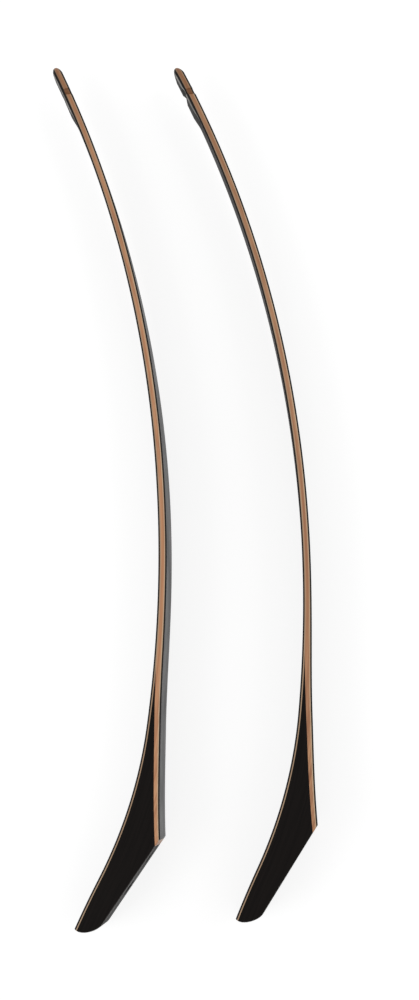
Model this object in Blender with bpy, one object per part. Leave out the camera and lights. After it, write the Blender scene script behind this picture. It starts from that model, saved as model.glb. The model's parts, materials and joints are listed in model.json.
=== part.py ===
"""A pair of laminated take-down bow limbs, lying side by side on their side edges.

Each limb is glued up from a black glass facing, a thin light veneer, a tapered brown core,
a second veneer and a second facing. A black wedge spreads the layers apart at the butt, where a flat
pad is ground for the riser, and a black overlay covers the back of the tip above the string nocks.
In a limb's own frame X points from back to belly, Y towards the tip and Z across the limb's width.
"""
import math

import bmesh
import bpy
import numpy as np
from mathutils import Matrix, Vector

# Lengths along the back of the limb, from the butt's back corner (metres)
UPPER_LENGTH = 0.6358
LOWER_LENGTH = 0.6260
BUTT_BEND = 0.0356
WEDGE_BEND = 0.1064
PAD_START = 0.0745
SPREAD_END = 0.265
TAPER_START = 0.305
NOCK_DISTANCE = 0.0241
OVERLAY_LENGTH = 0.049
OVERLAY_RAMP = 0.013

# Curves of the back: a slight reverse bend at the butt, a tight one over the wedge, a long one to the tip
BUTT_HEADING = math.radians(22.14)
BUTT_RADIUS = 0.641
WEDGE_RADIUS = 0.3057
BLADE_RADIUS = 0.8659

# Layers through the thickness
GLASS = 0.0009
VENEER = 0.0007
CORE_BUTT = 0.0018
CORE_TIP = 0.0016
CORE_EXTRA = 0.0007
GLUE = 0.0002
SPREAD_AT_PAD = 0.0212
SPREAD_POWER = 4
FEATHER = 0.00015
OVERLAY = 0.0012
OVERLAY_FEATHER = 0.0002

# Widths across the limb
BUTT_WIDTH = 0.038
SHOULDER_WIDTH = 0.0182
HEAD_WIDTH = 0.0144
END_WIDTH = 0.0116
HEAD_SLOPE = 0.0035
END_FLATNESS = 0.985
NOSE_LENGTH = 0.0052
NOSE_REACH = 1.01
NOSE_EDGE = 0.995
OVERLAY_FACE_SHARE = 0.90

# Butt: the pad's slope and length, the rounded end below it, the bolt hole and the locating-pin hole
PAD_ANGLE = math.radians(10.36)
PAD_LENGTH = 0.0677
END_DROP = 0.0031
END_REACH = 0.0050
END_BLEND = 0.0051
BOLT_DIAMETER = 0.0100
BOLT_FROM_PAD_TOP = 0.0400
PIN_DIAMETER = 0.0080
PIN_FROM_PAD_TOP = 0.0160
PIN_DEPTH = 0.0120

# String grooves in both edges of the tip
GROOVE_DIAMETER = 0.0060
GROOVE_DEPTH = 0.0029
GROOVE_SLANT = math.radians(20)

# How the two limbs lie: butt to butt, and the turn of each about the upright
LIMB_SPACING = 0.1064
LOWER_ADVANCE = 0.0071
UPPER_TURN = math.radians(1.99)
LOWER_TURN = math.radians(0.03)

# Fineness of the faceted solids
BLADE_STATIONS = 44
TIP_STATIONS = 14
TIP_ZONE = 0.030
NOSE_STATIONS = 8
END_STATIONS = 12
END_SAMPLES = 200
PAD_SAMPLES = 2000
PAD_STATIONS = 8
FADE_STATIONS = 18
OVERLAY_STATIONS = 26
HOLE_SIDES = 28
CUT_MARGIN = 0.010

WEDGE_FACE = GLASS + VENEER + 2 * GLUE
PAD_HEADING = BUTT_HEADING + PAD_ANGLE
BEND_END = BUTT_BEND + WEDGE_BEND
FADE_SHARE = ((FEATHER + GLUE + CORE_EXTRA) / SPREAD_AT_PAD) ** (1.0 / SPREAD_POWER)
FADE_END = SPREAD_END - FADE_SHARE * (SPREAD_END - PAD_START)

COLOURS = {
    "back_glass": ((0.012, 0.010, 0.009), 0.25),
    "back_veneer": ((0.48, 0.32, 0.20), 0.45),
    "butt_wedge": ((0.008, 0.007, 0.007), 0.40),
    "core_lamination": ((0.42, 0.22, 0.12), 0.45),
    "belly_veneer": ((0.48, 0.32, 0.20), 0.45),
    "belly_glass": ((0.012, 0.010, 0.009), 0.25),
    "tip_overlay": ((0.014, 0.013, 0.012), 0.30),
}


def remove_everything():
    for obj in list(bpy.data.objects):
        bpy.data.objects.remove(obj, do_unlink=True)


def new_collection(name):
    collection = bpy.data.collections.new(name)
    bpy.context.scene.collection.children.link(collection)
    return collection


def material(name, colour, roughness):
    mat = bpy.data.materials.new(name)
    mat.use_nodes = True
    shader = mat.node_tree.nodes["Principled BSDF"]
    shader.inputs["Base Color"].default_value = (*colour, 1.0)
    shader.inputs["Roughness"].default_value = roughness
    shader.inputs["Metallic"].default_value = 0.0
    return mat


# The limb's side view, as lines at a depth under the back face


def along(heading):
    """Unit vector towards the tip, for a heading measured from Y towards X."""
    return np.stack([np.sin(heading), np.cos(heading)], axis=-1)


def inward(heading):
    """Unit vector from the back towards the belly, square to the one above."""
    return np.stack([np.cos(heading), -np.sin(heading)], axis=-1)


def bends(s):
    """Headings after the butt's, the wedge's and the blade's bend, each followed as far as distance s."""
    butt = BUTT_HEADING + np.minimum(s, BUTT_BEND) / BUTT_RADIUS
    wedge = butt - np.clip(s - BUTT_BEND, 0.0, WEDGE_BEND) / WEDGE_RADIUS
    blade = wedge - np.maximum(s - BEND_END, 0.0) / BLADE_RADIUS
    return butt, wedge, blade


def place(s, depth):
    """Points at distance s along the back and at a depth under it: each bend adds its radius times the
    change of the inward vector, and the butt's bend turns the other way."""
    butt, wedge, blade = bends(np.asarray(s, dtype=float))
    point = BUTT_RADIUS * (inward(BUTT_HEADING) - inward(butt))
    point = point + WEDGE_RADIUS * (inward(wedge) - inward(butt))
    point = point + BLADE_RADIUS * (inward(blade) - inward(wedge))
    return point + np.asarray(depth)[..., None] * inward(blade)


def spread(s):
    """How far the wedge opens the stack: a steep power curve that dies out at the fade."""
    share = np.maximum(SPREAD_END - np.asarray(s, dtype=float), 0.0) / (SPREAD_END - PAD_START)
    return SPREAD_AT_PAD * share ** SPREAD_POWER


def core_extra(s):
    """What the core takes of the opening: it grows from the pad to the wedge's thin end and fills the rest."""
    share = np.clip((np.asarray(s) - PAD_START) / (FADE_END - PAD_START), 0.0, 1.0)
    return np.minimum(spread(s), CORE_EXTRA * share ** 2)


def core_thickness(s, length):
    return np.interp(s, [PAD_START, length], [CORE_BUTT, CORE_TIP]) + core_extra(s)


def core_depth(s):
    return WEDGE_FACE + spread(s) - core_extra(s)


def belly_veneer_depth(s, length):
    return core_depth(s) + core_thickness(s, length) + GLUE


def belly_glass_depth(s, length):
    return belly_veneer_depth(s, length) + VENEER + GLUE


def belly_depth(s, length):
    return belly_glass_depth(s, length) + GLASS


def overlay_thickness(s, length):
    """A smooth ramp up from a feather edge to the full thickness."""
    share = np.clip((s - (length - OVERLAY_LENGTH)) / OVERLAY_RAMP, 0.0, 1.0)
    return OVERLAY_FEATHER + (OVERLAY - OVERLAY_FEATHER) * share * share * (3.0 - 2.0 * share)


def nose(length):
    """Middle depth and half depth of the tip's rounded nose in side view."""
    middle = (belly_depth(length, length) - OVERLAY - GLUE) / 2
    reach = (belly_depth(length, length) + OVERLAY + GLUE) / 2 * NOSE_REACH
    return middle, reach


def tip_end(depth, length):
    """Where a line at this depth stops: a quarter ellipse on either side of the nose's middle."""
    middle, reach = nose(length)
    offset = np.clip((depth - middle) / reach, -NOSE_EDGE, NOSE_EDGE)
    return length - NOSE_LENGTH * (1.0 - np.sqrt(1.0 - offset ** 2))


def nose_depth(s, length):
    """Depth of the nose's outline on the back side, the same ellipse solved for the depth."""
    middle, reach = nose(length)
    share = np.clip(1.0 - (length - s) / NOSE_LENGTH, 0.0, 1.0)
    return middle - reach * np.sqrt(1.0 - share ** 2)


def half_width(s, depth, length):
    """Half the width: parallel, then a straight taper to the nocks, then a slim head with a round end."""
    shoulder = length - NOCK_DISTANCE
    stops = [TAPER_START, shoulder, shoulder + HEAD_SLOPE, length]
    halves = [BUTT_WIDTH / 2, SHOULDER_WIDTH / 2, HEAD_WIDTH / 2, END_WIDTH / 2]
    round_start = length - NOSE_LENGTH
    share = np.clip((s - round_start) / (tip_end(depth, length) - round_start), 0.0, 1.0)
    return np.interp(s, stops, halves) * np.sqrt(1.0 - (END_FLATNESS * share) ** 2)


def pad_top(length):
    return place(PAD_START, belly_depth(PAD_START, length))


def pad_start(depth_line, length):
    """Distance along the back where a depth line leaves the ground pad."""
    s = np.linspace(0.0, SPREAD_END, PAD_SAMPLES)
    outside = (place(s, depth_line(s)) - pad_top(length)) @ inward(PAD_HEADING)
    return float(np.interp(0.0, -outside, s))


def end_curve(share, length):
    """The butt's rounded end: a cubic curve with two handles, from the back's corner to the pad."""
    foot = pad_top(length) - PAD_LENGTH * along(PAD_HEADING)
    corner_handle = END_REACH * inward(BUTT_HEADING) - END_DROP * along(BUTT_HEADING)
    foot_handle = foot - END_BLEND * along(PAD_HEADING)
    t = np.asarray(share)[..., None]
    return 3 * t * (1 - t) ** 2 * corner_handle + 3 * t ** 2 * (1 - t) * foot_handle + t ** 3 * foot


def end_share(depth, length):
    """Share of the end curve at which it has come this deep under the back."""
    share = np.linspace(0.0, 1.0, END_SAMPLES)
    return float(np.interp(depth, end_curve(share, length) @ inward(BUTT_HEADING), share))


def butt_start(depth, length):
    """Distance along the back where a layer face at this depth starts on the end curve."""
    return float(end_curve(end_share(depth, length), length) @ along(BUTT_HEADING))


# Building the solids


def nose_stations(end, length):
    """Distances through the rounded nose, ever closer towards its end."""
    left = 1.0 - np.linspace(0.0, 1.0, NOSE_STATIONS)
    return end - (end - length + NOSE_LENGTH) * left ** 2


def stations(start, end, length):
    """Distances along a full-length layer, closer together at the tip."""
    blade = np.linspace(start, length - TIP_ZONE, BLADE_STATIONS, endpoint=False)
    tip = np.linspace(length - TIP_ZONE, length - NOSE_LENGTH, TIP_STATIONS, endpoint=False)
    return np.concatenate([blade, tip, nose_stations(end, length)])


def edge_line(s, depth, length):
    """Rows of x, y and half width for one face of a layer."""
    return np.column_stack([place(s, depth), half_width(s, depth, length)])


def strip_mesh(name, back_line, belly_line):
    """A closed strip between two side-view lines, drawn out to the half width of each point."""
    count = len(back_line)
    bm = bmesh.new()
    bmesh.ops.create_grid(bm, x_segments=count - 1, y_segments=1, size=0.5)
    drawn = bmesh.ops.extrude_face_region(bm, geom=bm.faces[:])["geom"]
    top = {item for item in drawn if isinstance(item, bmesh.types.BMVert)}
    for vert in bm.verts:
        column = round((vert.co.x + 0.5) * (count - 1))
        line = belly_line if vert.co.y > 0 else back_line
        x, y, half = line[column]
        vert.co = Vector((x, y, half if vert in top else -half))
    bmesh.ops.recalc_face_normals(bm, faces=bm.faces[:])
    mesh = bpy.data.meshes.new(name)
    bm.to_mesh(mesh)
    bm.free()
    mesh.shade_smooth()
    mesh.set_sharp_from_angle(angle=math.radians(30))
    return mesh


def layer_lines(inner, outer, start_inner, start_outer, length):
    """Both faces of a full-length layer whose depths are given as functions of s."""
    lines = []
    for depth, start in ((inner, start_inner), (outer, start_outer)):
        s = stations(start, tip_end(depth(length), length), length)
        lines.append(edge_line(s, depth(s), length))
    return lines


def constant(depth):
    return lambda s: np.full(np.shape(s), depth)


def back_layer_lines(depth, thickness, length):
    """A layer on the back side, cut off by the butt's rounded end."""
    starts = butt_start(depth, length), butt_start(depth + thickness, length)
    return layer_lines(constant(depth), constant(depth + thickness), *starts, length)


def back_glass_lines(length):
    return back_layer_lines(0.0, GLASS, length)


def back_veneer_lines(length):
    return back_layer_lines(GLASS + GLUE, VENEER, length)


def belly_layer_lines(depth, thickness, length):
    """A layer on the belly side, cut off where the pad is ground through it."""
    def outer(s):
        return depth(s) + thickness(s)

    starts = pad_start(depth, length), pad_start(outer, length)
    return layer_lines(depth, outer, *starts, length)


def core_lines(length):
    return belly_layer_lines(core_depth, lambda s: core_thickness(s, length), length)


def belly_veneer_lines(length):
    return belly_layer_lines(lambda s: belly_veneer_depth(s, length), constant(VENEER), length)


def belly_glass_lines(length):
    return belly_layer_lines(lambda s: belly_glass_depth(s, length), constant(GLASS), length)


def overlay_lines(length):
    """The overlay's outer face, narrowed by eased edges and rounded down to the nose, and its inner face."""
    def outer(s):
        return np.maximum(-GLUE - overlay_thickness(s, length), nose_depth(s, length))

    lines = []
    faces = (outer, -GLUE - OVERLAY_FEATHER, OVERLAY_FACE_SHARE), (constant(-GLUE), -GLUE, 1.0)
    for depth, end_depth, width_share in faces:
        flat = np.linspace(length - OVERLAY_LENGTH, length - NOSE_LENGTH, OVERLAY_STATIONS, endpoint=False)
        s = np.concatenate([flat, nose_stations(tip_end(end_depth, length), length)])
        lines.append(edge_line(s, depth(s), length) * [1.0, 1.0, width_share])
    return lines


def wedge_lines(length):
    """The back line of the wedge, and its belly line: the butt's end, the pad, then the fade."""
    end_shares = np.linspace(end_share(WEDGE_FACE + FEATHER, length), 1.0, END_STATIONS)
    rounding = end_curve(end_shares, length)

    def fade(s):
        return core_depth(s) - GLUE

    fade_start = pad_start(fade, length)
    fade_s = np.linspace(fade_start, FADE_END, FADE_STATIONS)
    fading = place(fade_s, fade(fade_s))
    share = np.linspace(0.0, 1.0, PAD_STATIONS + 1)[1:, None]
    ground = rounding[-1] + share * (fading[0] - rounding[-1])
    belly = np.concatenate([rounding, ground, fading[1:]])

    pad_s = np.linspace(butt_start(WEDGE_FACE, length), fade_start, END_STATIONS + PAD_STATIONS)
    back_s = np.concatenate([pad_s, fade_s[1:]])
    halves = half_width(back_s, WEDGE_FACE, length)
    back = place(back_s, WEDGE_FACE)
    return np.column_stack([back, halves]), np.column_stack([belly, halves])


LAYERS = {
    "back_glass": back_glass_lines,
    "back_veneer": back_veneer_lines,
    "butt_wedge": wedge_lines,
    "core_lamination": core_lines,
    "belly_veneer": belly_veneer_lines,
    "belly_glass": belly_glass_lines,
    "tip_overlay": overlay_lines,
}
BOLTED = ("back_glass", "back_veneer", "butt_wedge")
PINNED = ("butt_wedge",)


def cutter(name, frame, collection, centre, axis, diameter, depth):
    """A hidden round tool along an axis in the limb's frame."""
    bm = bmesh.new()
    turn = Vector(axis).to_track_quat("Z", "Y").to_matrix().to_4x4()
    bmesh.ops.create_cone(bm, cap_ends=True, segments=HOLE_SIDES, radius1=diameter / 2,
                          radius2=diameter / 2, depth=depth, matrix=Matrix.Translation(centre) @ turn)
    mesh = bpy.data.meshes.new(name)
    bm.to_mesh(mesh)
    bm.free()
    obj = bpy.data.objects.new(name, mesh)
    obj.parent = frame
    obj.hide_render = True
    obj.display_type = "WIRE"
    collection.objects.link(obj)
    return obj


def hole_tools(prefix, frame, collection, length):
    """The bolt hole, right through the butt, and the blind pin hole, both square to the pad."""
    top, up, outward = pad_top(length), along(PAD_HEADING), inward(PAD_HEADING)
    bolt_mouth = top - BOLT_FROM_PAD_TOP * up
    pin_middle = top - PIN_FROM_PAD_TOP * up + (CUT_MARGIN - PIN_DEPTH) / 2 * outward
    axis = (*outward, 0.0)
    through = 2 * (belly_depth(PAD_START, length) + CUT_MARGIN)
    bolt = cutter(f"{prefix}_bolt_tool", frame, collection, (*bolt_mouth, 0.0), axis, BOLT_DIAMETER, through)
    pin = cutter(f"{prefix}_pin_tool", frame, collection, (*pin_middle, 0.0), axis, PIN_DIAMETER,
                 PIN_DEPTH + CUT_MARGIN)
    return bolt, pin


def groove_tools(prefix, frame, collection, length):
    """Two slanted round files that cut the string grooves into the edges below the head."""
    s = length - NOCK_DISTANCE
    middle = place(s, belly_depth(s, length) / 2)
    axis = (*inward(bends(s)[-1] + GROOVE_SLANT), 0.0)
    height = SHOULDER_WIDTH / 2 - GROOVE_DEPTH + GROOVE_DIAMETER / 2
    depth = 2 * (belly_depth(s, length) + OVERLAY + CUT_MARGIN)
    tools = []
    for side, sign in (("top", 1), ("bottom", -1)):
        centre = (*middle, sign * height)
        name = f"{prefix}_{side}_groove_tool"
        tools.append(cutter(name, frame, collection, centre, axis, GROOVE_DIAMETER, depth))
    return tools


def cut(obj, tool):
    modifier = obj.modifiers.new(tool.name, "BOOLEAN")
    modifier.operation = "DIFFERENCE"
    modifier.solver = "EXACT"
    modifier.object = tool


def limb_frame(name, turn, collection):
    """An empty that carries one limb."""
    frame = bpy.data.objects.new(name, None)
    frame.rotation_euler = (0.0, 0.0, -turn)
    collection.objects.link(frame)
    return frame


def build_limb(prefix, frame, length, finishes, parts, tools):
    bolt, pin = hole_tools(prefix, frame, tools, length)
    grooves = groove_tools(prefix, frame, tools, length)
    for layer, lines in LAYERS.items():
        name = f"{prefix}_{layer}"
        obj = bpy.data.objects.new(name, strip_mesh(name, *lines(length)))
        obj.data.materials.append(finishes[layer])
        obj.parent = frame
        parts.objects.link(obj)
        if layer in BOLTED:
            cut(obj, bolt)
        if layer in PINNED:
            cut(obj, pin)
        if layer != "butt_wedge":
            for groove in grooves:
                cut(obj, groove)


def plan_points(length, turn, corner):
    """The limb's outline seen from above, turned and moved to where it lies."""
    outline = np.concatenate([line[:, :2] for layer in LAYERS.values() for line in layer(length)])
    turned = np.array([[math.cos(turn), -math.sin(turn)], [math.sin(turn), math.cos(turn)]])
    return outline @ turned + corner


def main():
    remove_everything()
    parts = new_collection("take_down_bow_limbs")
    tools = new_collection("cutters")
    finishes = {name: material(name, *look) for name, look in COLOURS.items()}
    limbs = (("upper", UPPER_LENGTH, UPPER_TURN, np.zeros(2)),
             ("lower", LOWER_LENGTH, LOWER_TURN, np.array([LIMB_SPACING, LOWER_ADVANCE])))
    outline = np.concatenate([plan_points(length, turn, corner) for _, length, turn, corner in limbs])
    centre = (outline.min(axis=0) + outline.max(axis=0)) / 2
    for prefix, length, turn, corner in limbs:
        frame = limb_frame(f"{prefix}_limb", turn, parts)
        frame.location = (*(corner - centre), BUTT_WIDTH / 2)
        build_limb(prefix, frame, length, finishes, parts, tools)


main()
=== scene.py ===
# %% [markdown]
# # A pair of take-down bow limbs
# A take-down bow comes apart into a handle and two limbs. This lesson dresses the two limbs, which lie
# side by side on their side edges, so that the camera looks at the layers of each glue-up. The packed
# solids already have the right sizes and places. They are loaded first and never moved, and the new
# surfaces are drawn around the same curves, with finer steps, rounded edges and no gaps at the glue.

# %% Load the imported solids
import json
import math
from functools import partial

import bpy
import numpy as np
from mathutils import Matrix, Vector


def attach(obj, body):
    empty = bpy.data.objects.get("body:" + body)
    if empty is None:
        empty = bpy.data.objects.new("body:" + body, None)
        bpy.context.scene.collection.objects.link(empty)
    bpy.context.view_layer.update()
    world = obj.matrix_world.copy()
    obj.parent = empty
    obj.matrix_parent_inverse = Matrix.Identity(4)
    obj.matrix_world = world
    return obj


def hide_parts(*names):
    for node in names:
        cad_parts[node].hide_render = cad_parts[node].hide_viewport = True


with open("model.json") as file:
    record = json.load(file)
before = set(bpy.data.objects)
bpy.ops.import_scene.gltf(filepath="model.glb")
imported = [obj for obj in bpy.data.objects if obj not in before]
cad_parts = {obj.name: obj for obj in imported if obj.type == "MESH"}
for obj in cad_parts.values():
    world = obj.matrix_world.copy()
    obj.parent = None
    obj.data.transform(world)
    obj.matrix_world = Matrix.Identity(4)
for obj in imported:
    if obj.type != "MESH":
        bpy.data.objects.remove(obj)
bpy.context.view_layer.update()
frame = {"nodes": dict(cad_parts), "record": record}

# %% [markdown]
# ## Camera
# The limbs are seen from above, a little from the butt end, with the tips at the top. Blender's tracking
# helpers take the world's Z as up, and from this high that would roll the picture. So the camera's axes are
# worked out one by one: the line of sight, a right-hand axis square to it and to Y, and an up axis square
# to both.

# %% Place the camera
IMAGE_HEIGHT = 1000
FOCAL_PIXELS = 1525
SENSOR = 36.0
LOOK_AT = Vector((0.02190, -0.01722, 0.019))
CAMERA_FROM_TARGET = Vector((0.07097, -0.18227, 1.04938))


def add_camera():
    """A camera whose axes are right = sight x Y, up = right x sight and back = -sight."""
    data = bpy.data.cameras.new("camera")
    data.sensor_width = SENSOR
    data.lens = FOCAL_PIXELS / IMAGE_HEIGHT * SENSOR
    sight = -CAMERA_FROM_TARGET.normalized()
    right = sight.cross(Vector((0.0, 1.0, 0.0))).normalized()
    up = right.cross(sight)
    turn = Matrix((right, up, -sight)).transposed()
    camera = bpy.data.objects.new("camera", data)
    camera.matrix_world = Matrix.Translation(LOOK_AT + CAMERA_FROM_TARGET) @ turn.to_4x4()
    bpy.context.scene.collection.objects.link(camera)
    bpy.context.scene.camera = camera
    return camera


camera = add_camera()
print("camera at", [round(x, 3) for x in camera.location], "lens", round(camera.data.lens, 1), "mm")

# %% [markdown]
# ## The curve of a limb
# A limb is bent while its glue sets, so every layer follows one curve: a slight reverse bend at the butt,
# a tight bend over the wedge and a long even bend to the tip. A curve object with a bevel could follow it,
# but here the layers change thickness along the way. So a point is given by two numbers, the distance `s`
# along the back and the depth under the back face, and one function turns those into a side-view point.

# %% Side view of the back
BUTT_HEADING = math.radians(22.14)
BUTT_BEND, BUTT_RADIUS = 0.0356, -0.641
WEDGE_BEND, WEDGE_RADIUS = 0.1064, 0.3057
BLADE_BEND, BLADE_RADIUS = 1.0, 0.8659
BENDS = ((BUTT_BEND, BUTT_RADIUS), (WEDGE_BEND, WEDGE_RADIUS), (BLADE_BEND, BLADE_RADIUS))


def along(heading):
    """Unit vector towards the tip, for a heading measured from Y towards X."""
    return np.stack([np.sin(heading), np.cos(heading)], axis=-1)


def inward(heading):
    """Unit vector from the back towards the belly, square to the one above."""
    return np.stack([np.cos(heading), -np.sin(heading)], axis=-1)


def limb_point(s, depth):
    """Side-view point: a straight run before the corner, then each bend's radius times the change of the
    inward vector, then the depth along the last inward vector. A negative radius turns the other way."""
    s = np.asarray(s, dtype=float)
    heading, start = np.full(s.shape, BUTT_HEADING), 0.0
    point = np.minimum(s, 0.0)[..., None] * along(BUTT_HEADING)
    for length, radius in BENDS:
        after = heading - np.clip(s - start, 0.0, length) / radius
        point = point + radius * (inward(after) - inward(heading))
        heading, start = after, start + length
    return point + np.asarray(depth)[..., None] * inward(heading)


def limb_coordinates(point):
    """The way back: on each bend, s follows from the angle at the bend's centre and the depth from the
    distance to it. The last bend that the point has reached counts."""
    s, depth = np.full(point.shape[:-1], np.inf), np.zeros(point.shape[:-1])
    heading, start = BUTT_HEADING, 0.0
    for length, radius in BENDS:
        centre = limb_point(start, 0.0) - radius * inward(heading)
        arm = (point - centre) * np.sign(radius)
        turned = heading - np.arctan2(-arm[..., 1], arm[..., 0])
        reached = s > start
        s = np.where(reached, start + turned * radius, s)
        depth = np.where(reached, np.sign(radius) * np.hypot(arm[..., 0], arm[..., 1]) - radius, depth)
        heading, start = heading - length / radius, start + length
    return s, depth


TEST_DISTANCES = np.linspace(0.0, 0.6, 7)
TEST_DEPTH = 0.004
found_again, _ = limb_coordinates(limb_point(TEST_DISTANCES, TEST_DEPTH))
print("curve checked both ways, worst error", np.abs(found_again - TEST_DISTANCES).max())

# %% [markdown]
# ## Where each limb lies
# The two limbs have the same section but not quite the same length, and each lies at its own angle. The
# lengths are given, but the places are not typed in again: the pad's direction in the imported record gives
# the turn of a limb, and the end of its back facing gives the butt's corner, from which all distances are
# counted.

# %% Read the places of the two limbs from the frame
PAD_ANGLE = math.radians(10.36)
PAD_HEADING = BUTT_HEADING + PAD_ANGLE
LIMB_LENGTH = {"upper": 0.6357, "lower": 0.6259}
GRAIN_START = {"upper": 0.0, "lower": 3.7}
BUTT_END = 0.010


def mesh_points(mesh):
    """All corners of a mesh as an array of rows."""
    points = np.zeros(len(mesh.vertices) * 3)
    mesh.vertices.foreach_get("co", points)
    return points.reshape(-1, 3)


def limb_place(name):
    """A limb's length, turn and corner: the corner lies furthest back at the facing's butt end."""
    mount = next(m for m in frame["record"]["mounts"] if m["name"] == f"{name}_pad")
    turn = math.atan2(-mount["axis"][1], mount["axis"][0]) - PAD_HEADING
    points = mesh_points(frame["nodes"][f"{name}_back_glass"].data)
    way, side = along(BUTT_HEADING + turn), inward(BUTT_HEADING + turn)
    distance = points[:, :2] @ way
    butt_end = points[distance < distance.min() + BUTT_END]
    corner = butt_end[(butt_end[:, :2] @ side).argmin(), :2]
    middle = (points[:, 2].min() + points[:, 2].max()) / 2
    return {"name": name, "length": LIMB_LENGTH[name], "turn": turn, "corner": corner, "middle": middle}


def to_world(limb, point, z):
    """Turns side-view points about the upright by the limb's turn and moves them to its corner."""
    cos, sin = math.cos(limb["turn"]), math.sin(limb["turn"])
    x = point[..., 0] * cos + point[..., 1] * sin + limb["corner"][0]
    y = point[..., 1] * cos - point[..., 0] * sin + limb["corner"][1]
    return np.stack([x, y, z + limb["middle"]], axis=-1)


def to_limb(limb, points):
    """The way back, from world points to side-view points and heights over the limb's middle."""
    cos, sin = math.cos(limb["turn"]), math.sin(limb["turn"])
    x = points[:, 0] - limb["corner"][0]
    y = points[:, 1] - limb["corner"][1]
    return np.stack([x * cos - y * sin, x * sin + y * cos], axis=-1), points[:, 2] - limb["middle"]


limbs = [limb_place(name) for name in LIMB_LENGTH]
for limb in limbs:
    print(limb["name"], "limb turned", round(math.degrees(limb["turn"]), 2), "degrees,",
          "corner", limb["corner"])

# %% [markdown]
# ## Thickness of the layers
# From back to belly a limb holds black glass, light veneer, brown core, light veneer and black glass. At
# the butt a black wedge spreads the stack, and its opening falls off as a steep power of the distance to
# the fade. The core grows thicker from the pad on, so it takes the last of the opening and the wedge ends
# early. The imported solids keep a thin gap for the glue. Here the black layers and the core reach over it,
# so that neighbours meet.

# %% Depth of every face
GLASS = 0.0009
VENEER = 0.0007
GLUE = 0.0002
CORE_BUTT = 0.0018
CORE_TIP = 0.0016
CORE_EXTRA = 0.0007
PAD_START = 0.0745
SPREAD_END = 0.265
SPREAD_AT_PAD = 0.0212
SPREAD_POWER = 4
FADE_END = 0.1751
BACK_VENEER_TOP = GLASS + GLUE
WEDGE_TOP = BACK_VENEER_TOP + VENEER


def spread(s):
    """Opening of the stack: a share of the way to the fade's end, to a fixed power."""
    share = np.maximum(SPREAD_END - np.asarray(s, dtype=float), 0.0) / (SPREAD_END - PAD_START)
    return SPREAD_AT_PAD * share ** SPREAD_POWER


def core_top(s):
    """Depth of the core's back face: the opening, less what the core itself takes of it. That grows as a
    square from the pad to the fade's end."""
    share = np.clip((np.asarray(s) - PAD_START) / (FADE_END - PAD_START), 0.0, 1.0)
    return WEDGE_TOP + np.maximum(spread(s) - CORE_EXTRA * share ** 2, 0.0)


def belly_veneer_top(limb, s):
    """The opening plus the core's own thickness, which falls evenly from the pad to the tip."""
    core = np.interp(s, [PAD_START, limb["length"]], [CORE_BUTT, CORE_TIP])
    return WEDGE_TOP + spread(s) + core + 2 * GLUE


def belly_glass_top(limb, s):
    """Depth of the belly facing's inner face."""
    return belly_veneer_top(limb, s) + VENEER


def belly_face(limb, s):
    """Depth of the belly itself."""
    return belly_glass_top(limb, s) + GLUE + GLASS


def millimetres(length):
    """A length in metres as rounded millimetres, for the printed notes."""
    return round(1000 * float(length), 2)


print("a limb is", millimetres(belly_face(limbs[0], SPREAD_END)), "mm thick where the opening ends and",
      millimetres(belly_face(limbs[0], PAD_START)), "mm at the pad")

# %% [markdown]
# ## Width, string grooves and the tip's nose
# Seen from the back a limb is parallel, then tapers to the string grooves, and ends in a slim round head.
# The grooves are filed across both edges on a slant. A Boolean would cut them, but it leaves untidy edges
# on thin layers. A round file takes the width down to a circle's edge, which is simple to work out, so the
# grooves are part of the width function and every layer follows them.

# %% Half width at any point of the limb
BUTT_WIDTH = 0.038
SHOULDER_WIDTH = 0.0182
HEAD_WIDTH = 0.0144
END_WIDTH = 0.0116
TAPER_START = 0.305
NOCK_DISTANCE = 0.0241
HEAD_SLOPE = 0.0035
NOSE_LENGTH = 0.0090
NOSE_AT_BELLY = 0.72
NOSE_REACH = 1.01
NOSE_LEAST = 0.02
GROOVE_RADIUS = 0.0030
GROOVE_DEPTH = 0.0029
GROOVE_SLANT = math.radians(20)
GROOVE_EASE = 0.0003
OVERLAY = 0.0014


def tip_end(limb, depth):
    """Distance at which a line of this depth ends: a quarter ellipse on either side of the tip's middle
    line, shorter on the belly's side."""
    belly = belly_face(limb, limb["length"])
    offset = (depth - (belly - OVERLAY) / 2) / ((belly + OVERLAY) / 2 * NOSE_REACH)
    bow = np.sqrt(np.maximum(1.0 - offset ** 2, NOSE_LEAST ** 2))
    return limb["length"] - NOSE_LENGTH * np.where(offset < 0.0, 1.0, NOSE_AT_BELLY) * (1.0 - bow)


def plain_half_width(limb, s, depth):
    """Straight lines between the widths, times a quarter ellipse from the nose's start to its end."""
    shoulder, nose = limb["length"] - NOCK_DISTANCE, limb["length"] - NOSE_LENGTH
    stops = [TAPER_START, shoulder, shoulder + HEAD_SLOPE, limb["length"]]
    widths = [BUTT_WIDTH, SHOULDER_WIDTH, HEAD_WIDTH, END_WIDTH]
    share = np.clip((s - nose) / (tip_end(limb, depth) - nose), 0.0, 1.0)
    return np.interp(s, stops, widths) / 2 * np.sqrt(1.0 - share ** 2)


def groove_axis(limb, depth):
    """Distance of the slanted groove's middle line at a depth."""
    shoulder = limb["length"] - NOCK_DISTANCE
    return shoulder - (depth - belly_face(limb, shoulder) / 2) * math.tan(GROOVE_SLANT)


def groove_half_width(limb, s, depth):
    """Height of the file's edge over the middle: its axis height less a chord of its circle, at the
    distance from the slanted axis."""
    away = (s - groove_axis(limb, depth)) * math.cos(GROOVE_SLANT)
    axis_height = SHOULDER_WIDTH / 2 - GROOVE_DEPTH + GROOVE_RADIUS
    chord = np.sqrt(np.maximum(GROOVE_RADIUS ** 2 - away ** 2, 0.0))
    return np.where(np.abs(away) < GROOVE_RADIUS, axis_height - chord, BUTT_WIDTH)


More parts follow.
